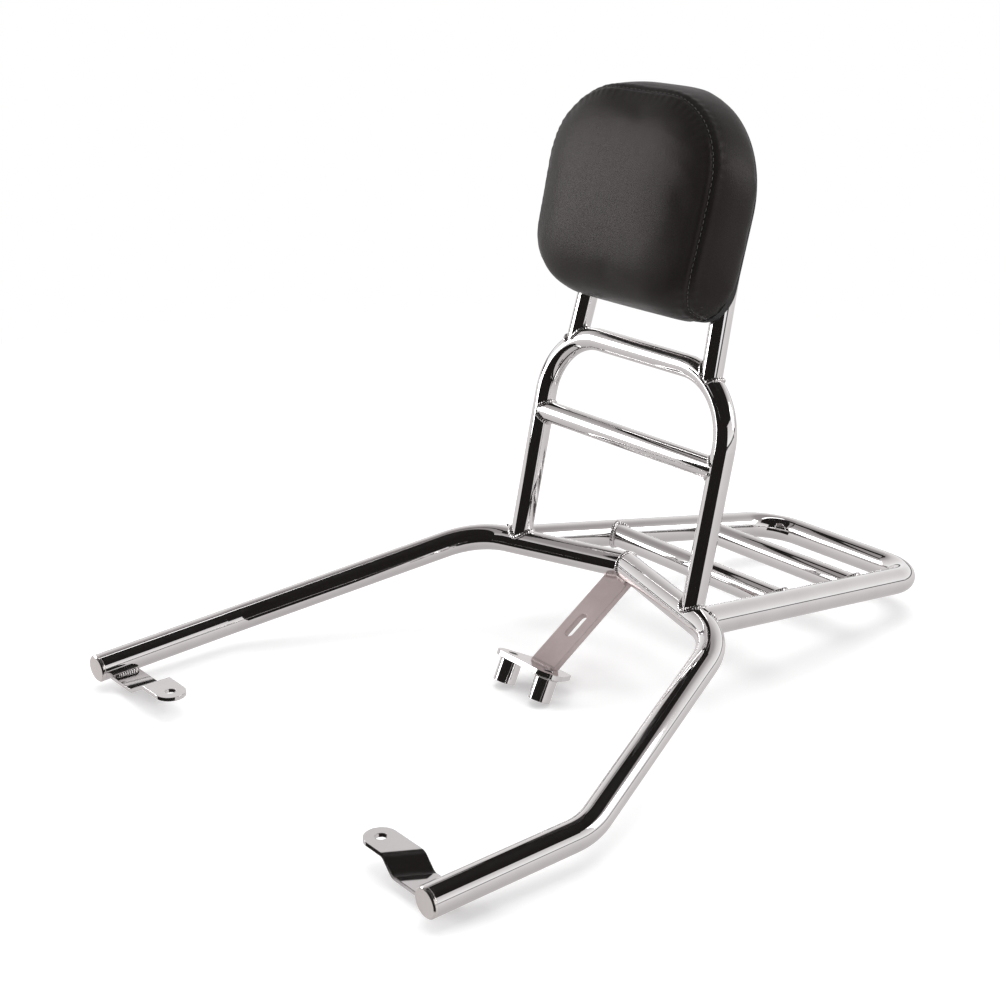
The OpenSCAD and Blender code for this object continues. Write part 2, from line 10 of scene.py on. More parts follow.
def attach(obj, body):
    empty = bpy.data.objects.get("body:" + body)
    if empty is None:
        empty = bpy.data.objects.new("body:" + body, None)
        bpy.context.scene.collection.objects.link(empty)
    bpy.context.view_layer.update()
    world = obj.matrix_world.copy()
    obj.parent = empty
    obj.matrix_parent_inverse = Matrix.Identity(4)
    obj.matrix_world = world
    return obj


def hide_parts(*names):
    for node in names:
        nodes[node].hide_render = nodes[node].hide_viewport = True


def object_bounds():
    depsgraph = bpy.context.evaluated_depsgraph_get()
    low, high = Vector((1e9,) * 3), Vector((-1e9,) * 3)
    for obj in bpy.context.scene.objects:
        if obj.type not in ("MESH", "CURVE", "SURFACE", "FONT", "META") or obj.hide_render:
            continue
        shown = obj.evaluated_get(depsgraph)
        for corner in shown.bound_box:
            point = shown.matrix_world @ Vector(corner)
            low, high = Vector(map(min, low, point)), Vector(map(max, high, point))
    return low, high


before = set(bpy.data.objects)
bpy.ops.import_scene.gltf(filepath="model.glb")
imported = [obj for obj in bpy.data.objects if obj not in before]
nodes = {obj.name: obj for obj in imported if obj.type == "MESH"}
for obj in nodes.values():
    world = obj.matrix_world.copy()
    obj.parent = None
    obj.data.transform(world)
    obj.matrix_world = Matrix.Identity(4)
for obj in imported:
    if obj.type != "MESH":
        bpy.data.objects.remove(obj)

cad_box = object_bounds()
MM = 0.001

# Camera: the photograph's view, found by fitting the tube ends and joints.
cam_data = bpy.data.cameras.new("camera")
cam_data.lens = 64.8
cam_data.sensor_width = 36.0
cam_data.clip_start = 0.05
cam_data.clip_end = 50.0
camera = bpy.data.objects.new("camera", cam_data)
bpy.context.scene.collection.objects.link(camera)
cam_right = Vector((0.628395, 0.777894, 0.0))
cam_up = Vector((-0.262911, 0.212384, 0.941154))
cam_back = Vector((0.732118, -0.591417, 0.337978))
cam_matrix = Matrix((cam_right, cam_up, cam_back)).transposed().to_4x4()
cam_matrix.translation = Vector((0.994651, -0.833368, 0.606386))
camera.matrix_world = cam_matrix
bpy.context.scene.camera = camera


def rad(a):
    return math.radians(a)


# Points, directions and radii of the part, in millimetres in the shared frame.
apex = Vector((0.0, 102.5, 61.0))
foot = Vector((102.5, 75.0, 59.0))
corner = Vector((145.0, apex.y - 27.5 / 102.5 * 145.0, 56.0))
front_bend = Vector((222.0, -135.0, 3.0))
front_end = Vector((218.0, -266.0, -3.0))
arm_dir = (front_end - front_bend).normalized()
inward = Vector((-1.0, 0.0, 0.0))

lean_dir = Vector((0.0, math.sin(rad(12.3)), math.cos(rad(12.3))))
hoop_top = foot + lean_dir * 183.0
bar_end = foot + lean_dir * 113.5
top_center = Vector((0.0, hoop_top.y, hoop_top.z))

pad_lean = rad(14.0)
pad_up = Vector((0.0, math.sin(pad_lean), math.cos(pad_lean)))
pad_front = Vector((0.0, -math.cos(pad_lean), math.sin(pad_lean)))
leg_foot = Vector((76.5, hoop_top.y, hoop_top.z))
leg_taper = math.tan(rad(3.6))
leg_dir = (pad_up - Vector((leg_taper, 0.0, 0.0))).normalized()
board_offset = 10.9
pad_center = 119.5

rail_front = Vector((113.5, 75.0, 56.5))
rail_rear = Vector((86.0, 370.0, 10.0))
rail_dir = (rail_rear - rail_front).normalized()
rack_reach = 295.0
slat_reaches = (107.0, 208.0)

hoop_r, bar_r, leg_r, rail_r, slat_r = 9.0, 8.75, 8.5, 11.5, 10.0


# Materials.
def new_material(name):
    mat = bpy.data.materials.new(name)
    mat.use_nodes = True
    tree = mat.node_tree
    tree.nodes.clear()
    out = tree.nodes.new("ShaderNodeOutputMaterial")
    shader = tree.nodes.new("ShaderNodeBsdfPrincipled")
    tree.links.new(shader.outputs["BSDF"], out.inputs["Surface"])
    return mat, tree, shader


def fill(node, values):
    for key, value in values.items():
        node.inputs[key].default_value = value


def add(tree, kind, values=None, **settings):
    """A new node with those values on its sockets and those settings."""
    node = tree.nodes.new(kind)
    for key, value in settings.items():
        setattr(node, key, value)
    fill(node, values or {})
    return node


def noise(tree, scale, detail, rough, vector):
    node = add(tree, "ShaderNodeTexNoise", {"Scale": scale, "Detail": detail, "Roughness": rough})
    tree.links.new(vector, node.inputs["Vector"])
    return node.outputs["Fac"]


def ramp(tree, source, stops):
    node = tree.nodes.new("ShaderNodeValToRGB")
    bar = node.color_ramp
    while len(bar.elements) < len(stops):
        bar.elements.new(0.5)
    for element, (place, colour) in zip(bar.elements, stops):
        element.position = place
        element.color = (*colour, 1.0)
    tree.links.new(source, node.inputs["Fac"])
    return node.outputs["Color"]


def spread(tree, source, low, high):
    node = add(tree, "ShaderNodeMapRange", {"To Min": low, "To Max": high})
    tree.links.new(source, node.inputs["Value"])
    return node.outputs["Result"]


def bump(tree, height, distance, strength, below=None):
    node = add(tree, "ShaderNodeBump", {"Strength": strength, "Distance": distance})
    tree.links.new(height, node.inputs["Height"])
    if below is not None:
        tree.links.new(below, node.inputs["Normal"])
    return node.outputs["Normal"]


def object_coords(tree, scale=(1.0, 1.0, 1.0)):
    coords = tree.nodes.new("ShaderNodeTexCoord")
    mapping = add(tree, "ShaderNodeMapping", {"Scale": scale})
    tree.links.new(coords.outputs["Object"], mapping.inputs["Vector"])
    return mapping.outputs["Vector"]


def rounded(tree, radius):
    node = add(tree, "ShaderNodeBevel", {"Radius": radius}, samples=6)
    return node.outputs["Normal"]


def dress(tree, shader, colour, roughness, normal):
    """Link what the shader's three varied sockets take."""
    tree.links.new(colour, shader.inputs["Base Color"])
    tree.links.new(roughness, shader.inputs["Roughness"])
    tree.links.new(normal, shader.inputs["Normal"])


def metal(name, dark, light, rough_low, rough_high, ripple, edge=0.0, scale=160.0):
    mat, tree, shader = new_material(name)
    place = object_coords(tree)
    cloud = noise(tree, 22.0, 4.0, 0.55, place)
    fine = noise(tree, scale, 3.0, 0.6, place)
    under = rounded(tree, edge) if edge else None
    fill(shader, {"Metallic": 1.0})
    dress(tree, shader, ramp(tree, cloud, [(0.3, dark), (0.7, light)]),
          spread(tree, fine, rough_low, rough_high), bump(tree, fine, ripple, 1.0, under))
    return mat


def satin_steel():
    mat, tree, shader = new_material("satin_strip")
    grain = noise(tree, 1.0, 4.0, 0.6, object_coords(tree, (900.0, 60.0, 60.0)))
    cloud = noise(tree, 26.0, 5.0, 0.6, object_coords(tree))
    tint = ramp(tree, cloud, [(0.25, (0.43, 0.35, 0.345)), (0.75, (0.56, 0.475, 0.465))])
    brushed = bump(tree, grain, 0.00003, 0.7, rounded(tree, 0.0008))
    pits = noise(tree, 240.0, 3.0, 0.7, object_coords(tree))
    fill(shader, {"Metallic": 0.45})
    dress(tree, shader, tint, spread(tree, grain, 0.26, 0.40),
          bump(tree, pits, 0.00006, 0.5, brushed))
    return mat


def weld_metal():
    mat, tree, shader = new_material("weld_plated")
    place = object_coords(tree)
    cloud = noise(tree, 420.0, 4.0, 0.6, place)
    fine = noise(tree, 900.0, 3.0, 0.6, place)
    fill(shader, {"Metallic": 1.0})
    dress(tree, shader, ramp(tree, cloud, [(0.3, (0.70, 0.68, 0.68)), (0.7, (0.86, 0.84, 0.84))]),
          spread(tree, cloud, 0.08, 0.24), bump(tree, fine, 0.00012, 0.8))
    return mat


def vinyl():
    mat, tree, shader = new_material("pad_vinyl")
    place = object_coords(tree)
    cloud = noise(tree, 14.0, 5.0, 0.6, place)
    tint = ramp(tree, cloud, [(0.25, (0.0085, 0.0066, 0.0062)), (0.75, (0.0135, 0.0108, 0.0104))])
    fill(shader, {"Specular IOR Level": 0.21, "Specular Tint": (1.0, 0.90, 0.88, 1.0),
                  "Sheen Weight": 0.05, "Sheen Roughness": 0.5})
    cells = add(tree, "ShaderNodeTexVoronoi", {"Scale": 780.0}, feature="DISTANCE_TO_EDGE")
    tree.links.new(place, cells.inputs["Vector"])
    fine = noise(tree, 480.0, 3.0, 0.6, place)
    broad = bump(tree, noise(tree, 46.0, 3.0, 0.5, place), 0.0004, 0.35)
    dress(tree, shader, tint, spread(tree, fine, 0.36, 0.48),
          bump(tree, cells.outputs["Distance"], 0.00022, 0.55, broad))
    return mat


def board_plastic():
    mat, tree, shader = new_material("board_black")
    place = object_coords(tree)
    cloud = noise(tree, 300.0, 4.0, 0.6, place)
    tint = ramp(tree, cloud, [(0.3, (0.014, 0.014, 0.014)), (0.7, (0.024, 0.023, 0.023))])
    fine = noise(tree, 1400.0, 3.0, 0.6, place)
    dress(tree, shader, tint, spread(tree, cloud, 0.55, 0.75), bump(tree, fine, 0.00012, 0.7))
    return mat


def thread():
    mat, tree, shader = new_material("seam_thread")
    strands = noise(tree, 1600.0, 3.0, 0.6, object_coords(tree))
    tint = ramp(tree, strands, [(0.3, (0.035, 0.030, 0.030)), (0.7, (0.10, 0.09, 0.088))])
    dress(tree, shader, tint, spread(tree, strands, 0.5, 0.7), bump(tree, strands, 0.0001, 0.8))
    return mat


chrome = metal("chrome_plate", (0.80, 0.785, 0.785), (0.86, 0.85, 0.85), 0.02, 0.06, 0.000006)
plate_chrome = metal("chrome_plate_flat", (0.79, 0.775, 0.775), (0.85, 0.84, 0.84), 0.05, 0.10,
                     0.00001, 0.0006)
cap_metal = metal("ground_cap", (0.84, 0.81, 0.79), (0.92, 0.90, 0.88), 0.12, 0.20,
                  0.00001, 0.0006, 900.0)
zinc = metal("zinc_fastener", (0.52, 0.53, 0.54), (0.66, 0.66, 0.66), 0.24, 0.36,
             0.00002, 0.0003, 900.0)
satin = satin_steel()
weld_bright = weld_metal()
pad_skin = vinyl()
board = board_plastic()


def finish_with(names, mat):
    for name in names:
        obj = nodes[name]
        for index in range(max(1, len(obj.material_slots))):
            if obj.material_slots:
                obj.material_slots[index].material = mat
            else:
                obj.data.materials.append(mat)


finish_with(["left_side_tube", "right_side_tube", "backrest_hoop", "hoop_crossbar", "pad_hoop",
             "rack_rail", "front_rack_slat", "rear_rack_slat"], chrome)
finish_with(["left_end_cap", "right_end_cap"], cap_metal)
finish_with(["left_front_tab", "right_front_tab", "left_spacer", "right_spacer",
             "mounting_plate"], plate_chrome)
finish_with(["center_bracket", "lower_pad_strap", "upper_pad_strap"], satin)
finish_with(["pad_screws", "pad_washers", "pad_inserts"], zinc)
finish_with(["pad_board"], board)


# Weld beads: a row of overlapping ripples swept along each seam between two pieces.
RIPPLE_PITCH = 1.9
BEAD_STEP = 0.32
BEAD_SIDES = 12
SEAM_POINTS = 72
RING_POINTS = 48


def tree_of(name):
    mesh = nodes[name].data
    points = [v.co / MM for v in mesh.vertices]
    return BVHTree.FromPolygons(points, [tuple(p.vertices) for p in mesh.polygons])


def circle(count):
    """The cosine and sine of count even steps of a turn."""
    return [(math.cos(t), math.sin(t)) for t in (2 * math.pi * i / count for i in range(count))]


def frame_across(u):
    side = Vector((0, 0, 1)) if abs(u.z) < 0.8 else Vector((0, 1, 0))
    a = u.cross(side).normalized()
    return a, u.cross(a).normalized()


def seam_around(target, base, u, radius, reach, gap):
    """Where a tube of that radius, coming down on target along -u, meets it. None where it
    misses the target."""
    hit_tree = tree_of(target)
    a, b = frame_across(u)
    found = []
    for c, s in circle(SEAM_POINTS):
        out = a * c + b * s
        hit = hit_tree.ray_cast(base + u * reach + out * (radius + gap), -u, reach + 40.0)
        found.append(None if hit[0] is None else hit[0] + hit[1] * gap * 0.6)
    return found


def length_of(points):
    return sum((q - p).length for p, q in zip(points, points[1:]))


def spaced(points, count, closed):
    """Points at even distances along a line, count steps of it."""
    run = points + [points[0]] if closed else points
    lengths = [0.0]
    for p, q in zip(run, run[1:]):
        lengths.append(lengths[-1] + (q - p).length)
    made, k = [], 0
    for i in range(count if closed else count + 1):
        want = lengths[-1] * i / count
        while k < len(run) - 2 and lengths[k + 1] < want:
            k += 1
        span = max(lengths[k + 1] - lengths[k], 1e-9)
        made.append(run[k].lerp(run[k + 1], (want - lengths[k]) / span))
    return made


def evenly(points, step, closed):
    run = points + [points[0]] if closed else points
    return spaced(points, max(6, round(length_of(run) / step)), closed)


def skin(bm, low, high):
    """Faces between two rings of as many vertices."""
    n = len(low)
    for k in range(n):
        bm.faces.new((low[k], low[(k + 1) % n], high[(k + 1) % n], high[k]))


def close_ends(bm, rings):
    bm.faces.new(list(reversed(rings[0])))
    bm.faces.new(rings[-1])


def bead_mesh(bm, points, radius, closed):
    """One bead along points, its radius largest at each ripple's start and falling to its end."""
    line = evenly(points, BEAD_STEP, closed)
    n = len(line)
    rings, travelled = [], 0.0
    for i, p in enumerate(line):
        before = line[i - 1] if closed or i else p
        after = line[(i + 1) % n] if closed or i < n - 1 else p
        a, b = frame_across((after - before).normalized())
        phase = (travelled / RIPPLE_PITCH) % 1.0
        ripple = math.sqrt(max(0.0, 1.0 - phase ** 2 * 0.42))
        wobble = 1.0 + 0.05 * math.sin(travelled * 0.9) + 0.03 * math.sin(travelled * 2.3 + 1.0)
        r = radius * ripple * wobble
        if not closed:
            r *= min(1.0, 0.35 + min(i, n - 1 - i) * BEAD_STEP / radius)
        rings.append([bm.verts.new((p + (a * c + b * s) * r) * MM) for c, s in circle(BEAD_SIDES)])
        travelled += (after - p).length
    for low, high in zip(rings, rings[1:]):
        skin(bm, low, high)
    if closed:
        first, last = rings[0], rings[-1]
        shift = min(range(BEAD_SIDES), key=lambda s: (last[0].co - first[s].co).length)
        skin(bm, last, first[shift:] + first[:shift])
    else:
        close_ends(bm, rings)


def to_object(name, bm, mat=None):
    mesh = bpy.data.meshes.new(name)
    bmesh.ops.recalc_face_normals(bm, faces=bm.faces)
    bm.to_mesh(mesh)
    bm.free()
    if mat:
        mesh.materials.append(mat)
        mesh.polygons.foreach_set("use_smooth", [True] * len(mesh.polygons))
    obj = bpy.data.objects.new(name, mesh)
    bpy.context.scene.collection.objects.link(obj)
    return obj


def weld_piece(name, lines, node, mat=weld_bright):
    bm = bmesh.new()
    for points, radius, closed in lines:
        bead_mesh(bm, points, radius, closed)
    piece = to_object(name, bm, mat)
    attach(piece, "root")
    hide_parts(node)


def both_sides(lines):
    made = []
    for points, radius, closed in lines:
        mirrored = [Vector((-p.x, p.y, p.z)) for p in points]
        made += [(points, radius, closed), (mirrored, radius, closed)]
    return made


def ring_lines(target, base, u, radius, reach, size):
    """The seam as closed or open lines, split where the tube misses the target."""
    found = seam_around(target, base, u, radius, reach, size * 0.35)
    gaps = [i for i, p in enumerate(found) if p is None]
    if not gaps:
        return [(found, size, True)]
    lines, run = [], []
    for p in found[gaps[0]:] + found[:gaps[0]] + [None]:
        if p is None:
            if len(run) > 5:
                lines.append((run, size, False))
            run = []
        else:
            run.append(p)
    return lines


# Each row: piece, node, what the tube stands on, its start, direction and radius, how far off
# the seam is looked for from, and the bead's radius.
for piece, node, target, base, u, radius, reach, size in (
        ("foot_beads", "upright_foot_welds", "left_side_tube", foot, lean_dir, hoop_r, 32.0, 1.9),
        ("crossbar_beads", "crossbar_welds", "backrest_hoop", bar_end, inward, bar_r, 24.0, 1.6),
        ("pad_hoop_beads", "pad_hoop_welds", "backrest_hoop", leg_foot, leg_dir, leg_r, 40.0, 1.7),
        ("rack_beads", "rack_rail_welds", "left_side_tube", rail_front, rail_dir, rail_r, 46.0,
         1.8)):
    weld_piece(piece, both_sides(ring_lines(target, base, u, radius, reach, size)), node)
slats = []
for reach in slat_reaches:
    end = rail_front.lerp(rail_rear, reach / rack_reach)
    slats += ring_lines("rack_rail", end, inward, slat_r, 26.0, 1.7)
weld_piece("slat_beads", both_sides(slats), "slat_welds")

# Round the mitre of the side tubes, a hair inside their surface.
apex_r = 10.9
apex_stretch = abs((corner - apex).normalized().x)
apex_ring = [apex + Vector((0.0, apex_r * c / apex_stretch, apex_r * s))
             for c, s in circle(RING_POINTS)]
weld_piece("apex_bead", [(apex_ring, 1.5, True)], "apex_weld")

# Where the sloping strip's upper and lower face run up to the side tubes.
fall = rad(34.0)
strip_x = Vector((1.0, 0.0, 0.0))
strip_y = Vector((0.0, math.cos(fall), math.sin(fall)))
strip_z = Vector((0.0, -math.sin(fall), math.cos(fall)))
strip_half = 13.3
strip_level, strip_t = -4.2, 3.0
side_tree = {1: tree_of("left_side_tube"), -1: tree_of("right_side_tube")}


def strip_seam(height):
    points = []
    for i in range(33):
        x = -strip_half + 2 * strip_half * i / 32
        start = apex + strip_x * x + strip_y * -60.0 + strip_z * height
        hit = side_tree[1 if x > 0 else -1].ray_cast(start, strip_y, 90.0)
        if hit[0] is not None:
            points.append(hit[0] - strip_y * 0.6)
    return points


seams = [strip_seam(strip_level + strip_t), strip_seam(strip_level - strip_t)]
weld_piece("bracket_beads", [(line, 2.0, False) for line in seams if len(line) > 4],
           "bracket_weld", satin)

# On the mounting plate: the strip's foot, and round the two spacers.
plate_fall = rad(24.5)
plate_y = Vector((0.0, math.cos(plate_fall), -math.sin(plate_fall)))
plate_z = Vector((0.0, math.sin(plate_fall), math.cos(plate_fall)))
plate_line = [strip_x * x + plate_y * 12.9 + plate_z * 4.2 for x in (-13.0, -6.0, 0.0, 6.0, 13.0)]
weld_piece("plate_bead", [(plate_line, 2.2, False)], "plate_weld", satin)

spacer_x, spacer_r = 21.5, 9.3
spacer_rings = [([strip_x * (x + spacer_r * c) + plate_y * spacer_r * s - plate_z * 0.5
                  for c, s in circle(RING_POINTS)], 1.2, True) for x in (spacer_x, -spacer_x)]
weld_piece("spacer_beads", spacer_rings, "spacer_welds")

# Along both sides of the pad hoop's legs, where the straps cross them.
strap_heights, strap_half, strap_side, strap_back = (70.0, 122.0), 11.5, 4.6, 3.2
strap_lines = []
for h in strap_heights:
    for side in (-strap_side, strap_side):
        line = []
        for dz in (-strap_half, 0.0, strap_half):
            p = top_center + pad_up * (h + dz) + pad_front * (board_offset - strap_back)
            line.append(Vector((leg_foot.x - leg_taper * (h + dz) + side, p.y, p.z)))
        strap_lines.append((line, 1.7, False))
weld_piece("strap_beads", both_sides(strap_lines), "strap_welds")

# Along the tabs' roots, under the arms' front ends.
tab_origin = front_end - arm_dir * 23.0 - Vector((0.0, 0.0, 9.0))
tab_mid = tab_origin + Vector((-6.8, 0.0, 0.3))
tab_line = [tab_mid + arm_dir * t for t in (-10.0, 0.0, 10.0)]
weld_piece("tab_beads", both_sides([(tab_line, 2.1, False)]), "tab_welds")


# The pad: vinyl sewn round foam on a board.
PAD_HALF = 87.5
BOTTOM_HALF, TOP_HALF = 96.0, 98.5
TOP_RADII, BOTTOM_RADII = (84.0, 68.5), (36.0, 53.5)
BULGE, BULGE_X, BULGE_Z = 2.4, 97.0, 90.0
ARC_STEPS = 24
SEAM_DEPTH, SEAM_INSET, FRONT = 47.0, 9.5, 59.0
BACK = 0.6
SHRINK = 0.7
SWELL = 1.1
CLOTH_FRAMES = 20
# Each layer is a depth from the board's back, how far it lies inside the back outline, and its
# share of the seam's corners.
LAYERS = [
    (BACK, 3.0, 0.0),
    (4.0, 0.8, 0.08),
    (14.0, 1.2, 0.3),
    (28.0, 3.8, 0.6),
    (40.0, 7.0, 0.85),
    (45.0, 8.6, 0.96),
    (47.0, 9.8, 1.0),
    (50.0, 13.6, 1.0),
    (53.0, 20.5, 1.0),
    (55.6, 31.0, 1.0),
    (57.4, 45.0, 1.0),
    (58.5, 62.0, 1.0),
]


def outline(inset, share, count=160):
    """The pad's outline as (x, z) points, counter-clockwise from the right, drawn smaller by
    inset. Its corners go from the back's radii (share 0) to the seam's (share 1), and its
    sides bulge a little."""
    slope = (TOP_HALF - BOTTOM_HALF) / (2 * PAD_HALF)
    arcs = []
    for sx, sz, start in ((1, 1, 0), (-1, 1, 90), (-1, -1, 180), (1, -1, 270)):
        back_r, seam_r = TOP_RADII if sz > 0 else BOTTOM_RADII
        r = max(back_r + (seam_r - back_r) * share - inset, 5.0)
        cz = sz * (PAD_HALF - inset - r)
        cx = sx * (BOTTOM_HALF + (cz + PAD_HALF) * slope - inset - r)
        for k in range(ARC_STEPS + 1):
            a = rad(start + 90.0 * k / ARC_STEPS)
            arcs.append(Vector((cx + r * math.cos(a), 0.0, cz + r * math.sin(a))))
    return [(p.x * (1.0 + BULGE / BULGE_X * (1.0 - (p.z / BULGE_Z) ** 2)), p.z)
            for p in spaced(arcs, count, True)]


def in_pad(x, depth, z):
    return (top_center + Vector((x, 0, 0)) + pad_front * (board_offset + depth)
            + pad_up * (pad_center + z))


def pad_depth(point):
    return (point / MM - top_center).dot(pad_front) - board_offset


def pad_shell():
    """The pad's skin, drawn smaller by what the cloth pass gives back."""
    bm = bmesh.new()
    rings = []
    for depth, inset, share in LAYERS:
        d = depth if depth < 10.0 else depth - SHRINK
        rings.append([bm.verts.new(in_pad(x, d, z) * MM)
                      for x, z in outline(inset + SHRINK, share)])
    for low, high in zip(rings, rings[1:]):
        skin(bm, low, high)
    n = len(rings[0])
    for ring, depth in ((rings[0], BACK), (rings[-1], FRONT - SHRINK)):
        hub = bm.verts.new(in_pad(0.0, depth, 0.0) * MM)
        for i in range(n):
            bm.faces.new((ring[i], ring[(i + 1) % n], hub))
    return to_object("pad_cushion", bm)


def apply_modifiers(obj):
    graph = bpy.context.evaluated_depsgraph_get()
    mesh = bpy.data.meshes.new_from_object(obj.evaluated_get(graph))
    obj.modifiers.clear()
    old = obj.data
    obj.data = mesh
    bpy.data.meshes.remove(old)


def swell(obj):
    """Cloth pass: the skin swells under pressure with its back held to the board, by SWELL at
    most."""
    rest = [v.co.copy() for v in obj.data.vertices]
    held = obj.vertex_groups.new(name="held")
    for v in obj.data.vertices:
        grip = (24.0 - pad_depth(v.co)) / 18.0
        held.add([v.index], max(0.0, min(1.0, grip)), "REPLACE")
    cloth = obj.modifiers.new("cloth", "CLOTH")
    for key, value in (("quality", 5), ("mass", 0.3), ("use_pressure", True),
                       ("uniform_pressure_force", 4.0), ("tension_stiffness", 12.0),
                       ("compression_stiffness", 12.0), ("shear_stiffness", 6.0),
                       ("bending_stiffness", 0.6), ("vertex_group_mass", "held")):
        setattr(cloth.settings, key, value)
    cloth.settings.effector_weights.gravity = 0.0
    cloth.collision_settings.use_collision = False
    scene = bpy.context.scene
    scene.frame_start, scene.frame_end = 1, CLOTH_FRAMES
    for step in range(1, CLOTH_FRAMES + 1):
        scene.frame_set(step)
    apply_modifiers(obj)
    scene.frame_set(1)
    for v, start in zip(obj.data.vertices, rest):
        move = v.co - start
        if move.length > SWELL * MM:
            v.co = start + move.normalized() * SWELL * MM


def seam_path():
    """The seam round the front panel: up one side, over the top and down the other. Below
    leave_z it leaves the panel's edge, runs over each lower corner and ends under the pad at
    the board."""
    leave_z, low_x = -40.0, 80.0
    loop = outline(SEAM_INSET - 1.0, 1.0, 480)
    first = next(i for i in range(len(loop)) if loop[i][1] > leave_z >= loop[i - 1][1])
    upper = [(x, SEAM_DEPTH, z) for x, z in loop[first:] + loop[:first] if z > leave_z]
    start = upper[0][0]
    lower = [(start + (low_x - start) * t * t, SEAM_DEPTH - 17.0 * t * t, leave_z - 44.0 * t)
             for t in (k / 40 for k in range(1, 41))]
    under = [(low_x - 4.0 * t, 30.0 - 22.0 * t, -86.0) for t in (k / 24 for k in range(1, 25))]
    side = lower + under
    path = list(reversed(side)) + upper + [(-x, depth, z) for x, depth, z in side]
    return [in_pad(*p) for p in path]


def bell(away, middle, width):
    return math.exp(-(((away - middle) / width) ** 2))


def sew(obj, seam):
    """Draw the skin in along the seam, with a roll beside it and small puckers."""
    lookup = KDTree(len(seam))
    for i, p in enumerate(seam):
        lookup.insert(p, i)
    lookup.balance()
    lengths = [0.0]
    for p, q in zip(seam, seam[1:]):
        lengths.append(lengths[-1] + (q - p).length / MM)
    normals = [v.normal.copy() for v in obj.data.vertices]
    for v, normal in zip(obj.data.vertices, normals):
        _, index, away = lookup.find(v.co)
        d = away / MM
        if d > 22.0:
            continue
        front = pad_depth(v.co) > SEAM_DEPTH - 0.4
        groove = -1.1 * bell(d, 0.0, 1.6)
        roll = 0.45 * bell(d, 4.2, 2.6)
        s = lengths[index]
        pull = math.sin(s * 0.86 + 1.7 * math.sin(s * 0.11))
        pull *= 0.6 + 0.4 * math.sin(s * 0.037 + 2.0)
        pucker = 0.20 * pull * bell(d, 5.0, 5.5 if front else 3.5)
        v.co += normal * (groove + roll + pucker) * MM
    obj.data.update()


def make_pad():
    obj = pad_shell()
    remesh = obj.modifiers.new("remesh", "REMESH")
    remesh.mode = "VOXEL"
    remesh.voxel_size = 0.005
    remesh.adaptivity = 0.0
    apply_modifiers(obj)
    swell(obj)
    smooth = obj.modifiers.new("smooth", "SMOOTH")
    smooth.factor = 0.5
    smooth.iterations = 7
    sub = obj.modifiers.new("sub", "SUBSURF")
    sub.levels = 2
    apply_modifiers(obj)

    # The seam and its stitches come after the remesh, laid on the surface it left.
    surface = BVHTree.FromPolygons([v.co.copy() for v in obj.data.vertices],
                                   [tuple(p.vertices) for p in obj.data.polygons])
    seam = [surface.find_nearest(p * MM)[0] for p in seam_path()]
    for _ in range(3):
        inner = [(a + b * 2.0 + c) / 4.0 for a, b, c in zip(seam, seam[1:], seam[2:])]
        seam = [seam[0]] + inner + [seam[-1]]
    sew(obj, seam)
    obj.data.materials.clear()
    obj.data.materials.append(pad_skin)
    obj.data.polygons.foreach_set("use_smooth", [True] * len(obj.data.polygons))
    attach(obj, "root")
    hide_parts("pad_cover", "pad_foam")
    return seam, surface


def make_stitches(seam, surface):
    """One row of stitches, each a short raised thread, sunk at both ends in the seam."""
    pitch, length, sides, thread_r = 9, 7, 7, 0.34
    bm = bmesh.new()
    line = evenly([p / MM for p in seam], 0.5, False)
    for first in range(1, len(line) - pitch, pitch):
        rings = []
        for k in range(length):
            near, normal, _, _ = surface.find_nearest(line[first + k] * MM)
            ahead = (line[first + k + 1] - line[first + k - 1]).normalized()
            lift = 0.9 * math.sin(math.pi * k / (length - 1)) - 1.15
            side = ahead.cross(normal).normalized()
            middle = near / MM + normal * lift
            rings.append([bm.verts.new((middle + (side * c + normal * s) * thread_r) * MM)
                          for c, s in circle(sides)])
        for low, high in zip(rings, rings[1:]):
            skin(bm, low, high)
        close_ends(bm, rings)
    stitches = to_object("pad_stitches", bm, thread())
    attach(stitches, "root")


make_stitches(*make_pad())


# Stage: a pale floor that keeps the shadow, white beyond it, soft light, and dark cards that
# only metal sees. Its lengths are in metres.
CARD_Z = 0.85
WALL_STEPS, WALL_START, WALL_SWEEP = 12, -16.0, 114.0
WALL_R, WALL_Y, WALL_LOW, WALL_HIGH = 0.95, 0.075, -0.52, 0.62
FLOOR_HALF = 4
WHITE = (1.0, 1.0, 1.0, 1.0)


def stage_sheet(name, corners, mat, glossy_only):
    mesh = bpy.data.meshes.new(name)
    mesh.from_pydata(corners, [], [tuple(range(len(corners)))])
    mesh.materials.append(mat)
    obj = bpy.data.objects.new(name, mesh)
    bpy.context.scene.collection.objects.link(obj)
    if glossy_only:
        obj.visible_camera = False
        obj.visible_diffuse = False
        obj.visible_transmission = False
        obj.visible_shadow = False
        obj.visible_volume_scatter = False
    return obj


def level(x0, x1, y0, y1, z):
    """The corners of a level sheet."""
    return [(x0, y0, z), (x1, y0, z), (x1, y1, z), (x0, y1, z)]


floor_mat, tree, shader = new_material("floor_white")
fill(shader, {"Base Color": (0.94, 0.94, 0.94, 1.0), "Roughness": 0.9,
              "Specular IOR Level": 0.0, "Emission Color": WHITE, "Emission Strength": 0.20})
